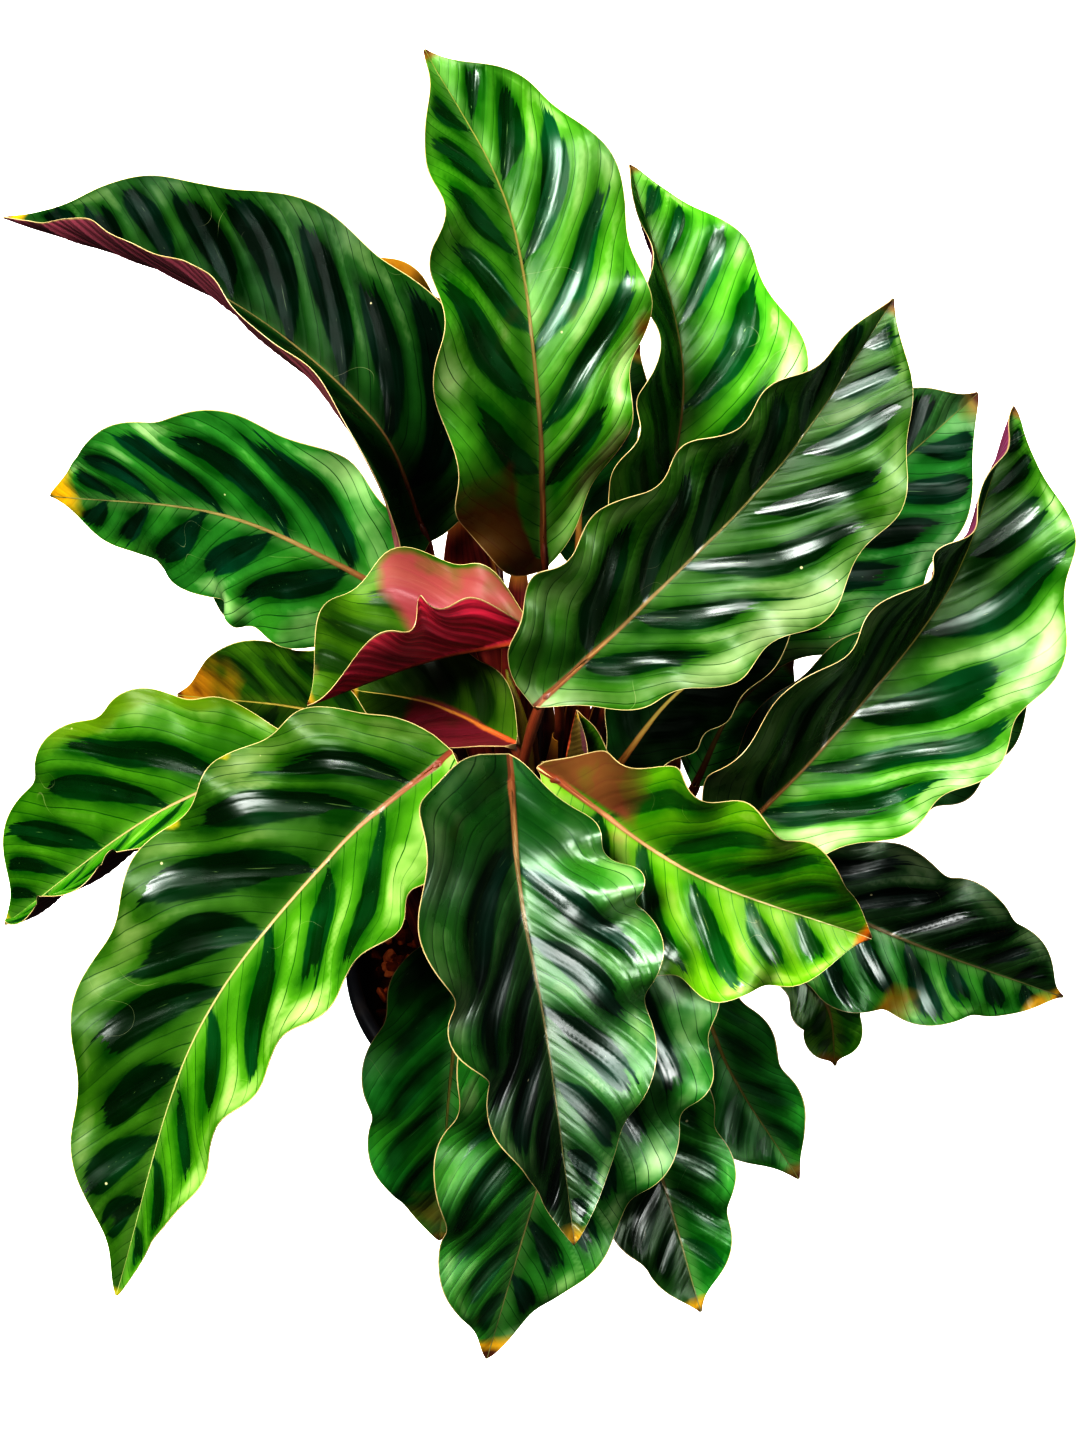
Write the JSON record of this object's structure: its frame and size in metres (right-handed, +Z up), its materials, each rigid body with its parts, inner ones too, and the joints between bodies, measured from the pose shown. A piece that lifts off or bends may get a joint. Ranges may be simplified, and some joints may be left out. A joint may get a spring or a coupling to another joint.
{
  "type": "potted calathea",
  "caption": "Leafy calathea with wavy striped leaves on thin stalks, rising from a filled round black nursery pot.",
  "frame": {"origin": "middle of the pot's underside, on the ground plane", "axes": "+Z up along the pot's axis, -Y towards the viewer of the picture, +X to the viewer's right"},
  "size_m": [0.3844, 0.3531, 0.4405],
  "materials": {
    "pot_plastic": "semi-matt black injection-moulded plastic",
    "bark_mix": "damp red-brown bark and clay chips",
    "leaf": "waxy green leaf with dark feathered patches, maroon underneath",
    "young_leaf": "waxy yellow-green new leaf, crimson underneath"
  },
  "bodies": {
    "root": {"pot": "pot_plastic", "growing_mix": "bark_mix", "leaf_back_tall": "leaf", "leaf_back_left_long": "leaf", "leaf_left_upper": "leaf", "leaf_left_under": "leaf", "leaf_back_hidden_left": "leaf", "leaf_back_right": "leaf", "leaf_right_high": "leaf", "leaf_right_low": "leaf", "leaf_right_behind": "leaf", "leaf_right_shaded": "leaf", "leaf_right_outer": "leaf", "leaf_front_right_young": "young_leaf", "leaf_front_middle": "leaf", "leaf_front_left_long": "leaf", "leaf_left_low": "leaf", "leaf_left_aged": "leaf", "leaf_centre_young": "young_leaf", "leaf_centre_small": "young_leaf", "leaf_front_left_low": "leaf", "leaf_front_bottom": "leaf", "leaf_front_right_low": "leaf", "leaf_front_right_creased": "leaf", "leaf_right_small": "leaf", "leaf_right_inner": "leaf", "leaf_right_inner_low": "leaf", "leaf_back_hidden_right": "leaf", "shoot_half_open": "young_leaf", "shoot_spear": "young_leaf"}
  },
  "joints": []
}
